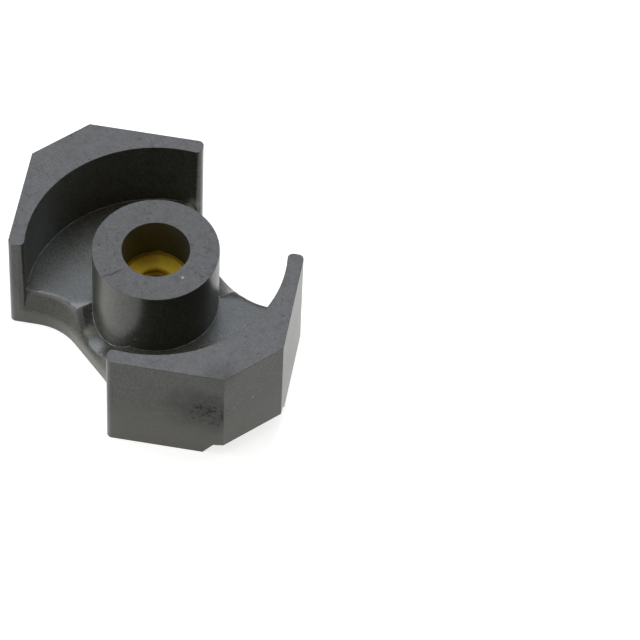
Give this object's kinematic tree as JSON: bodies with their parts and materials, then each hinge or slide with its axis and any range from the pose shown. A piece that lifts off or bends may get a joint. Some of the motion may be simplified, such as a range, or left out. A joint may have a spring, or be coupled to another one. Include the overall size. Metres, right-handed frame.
{
  "type": "ferrite core half",
  "caption": "Waisted square ferrite core half with cut corners, a bored centre post holding a threaded adjuster sleeve, skirts round the winding window and clip recesses in its back.",
  "frame": {"origin": "on the bore axis, in the plane of the ground back face", "axes": "+Z along the bore axis towards the mating faces, +X along the diagonal through the middles of the two cut corners, +Y across the waist"},
  "size_m": [0.0226, 0.0154, 0.0082],
  "materials": {
    "ferrite": "ground and as-sintered, matt",
    "sleeve_plastic": "moulded, satin",
    "adhesive": "cured resin, gloss"
  },
  "bodies": {
    "root": {"core_half": "ferrite", "threaded_sleeve": "sleeve_plastic", "adhesive_ring": "adhesive"}
  },
  "joints": []
}
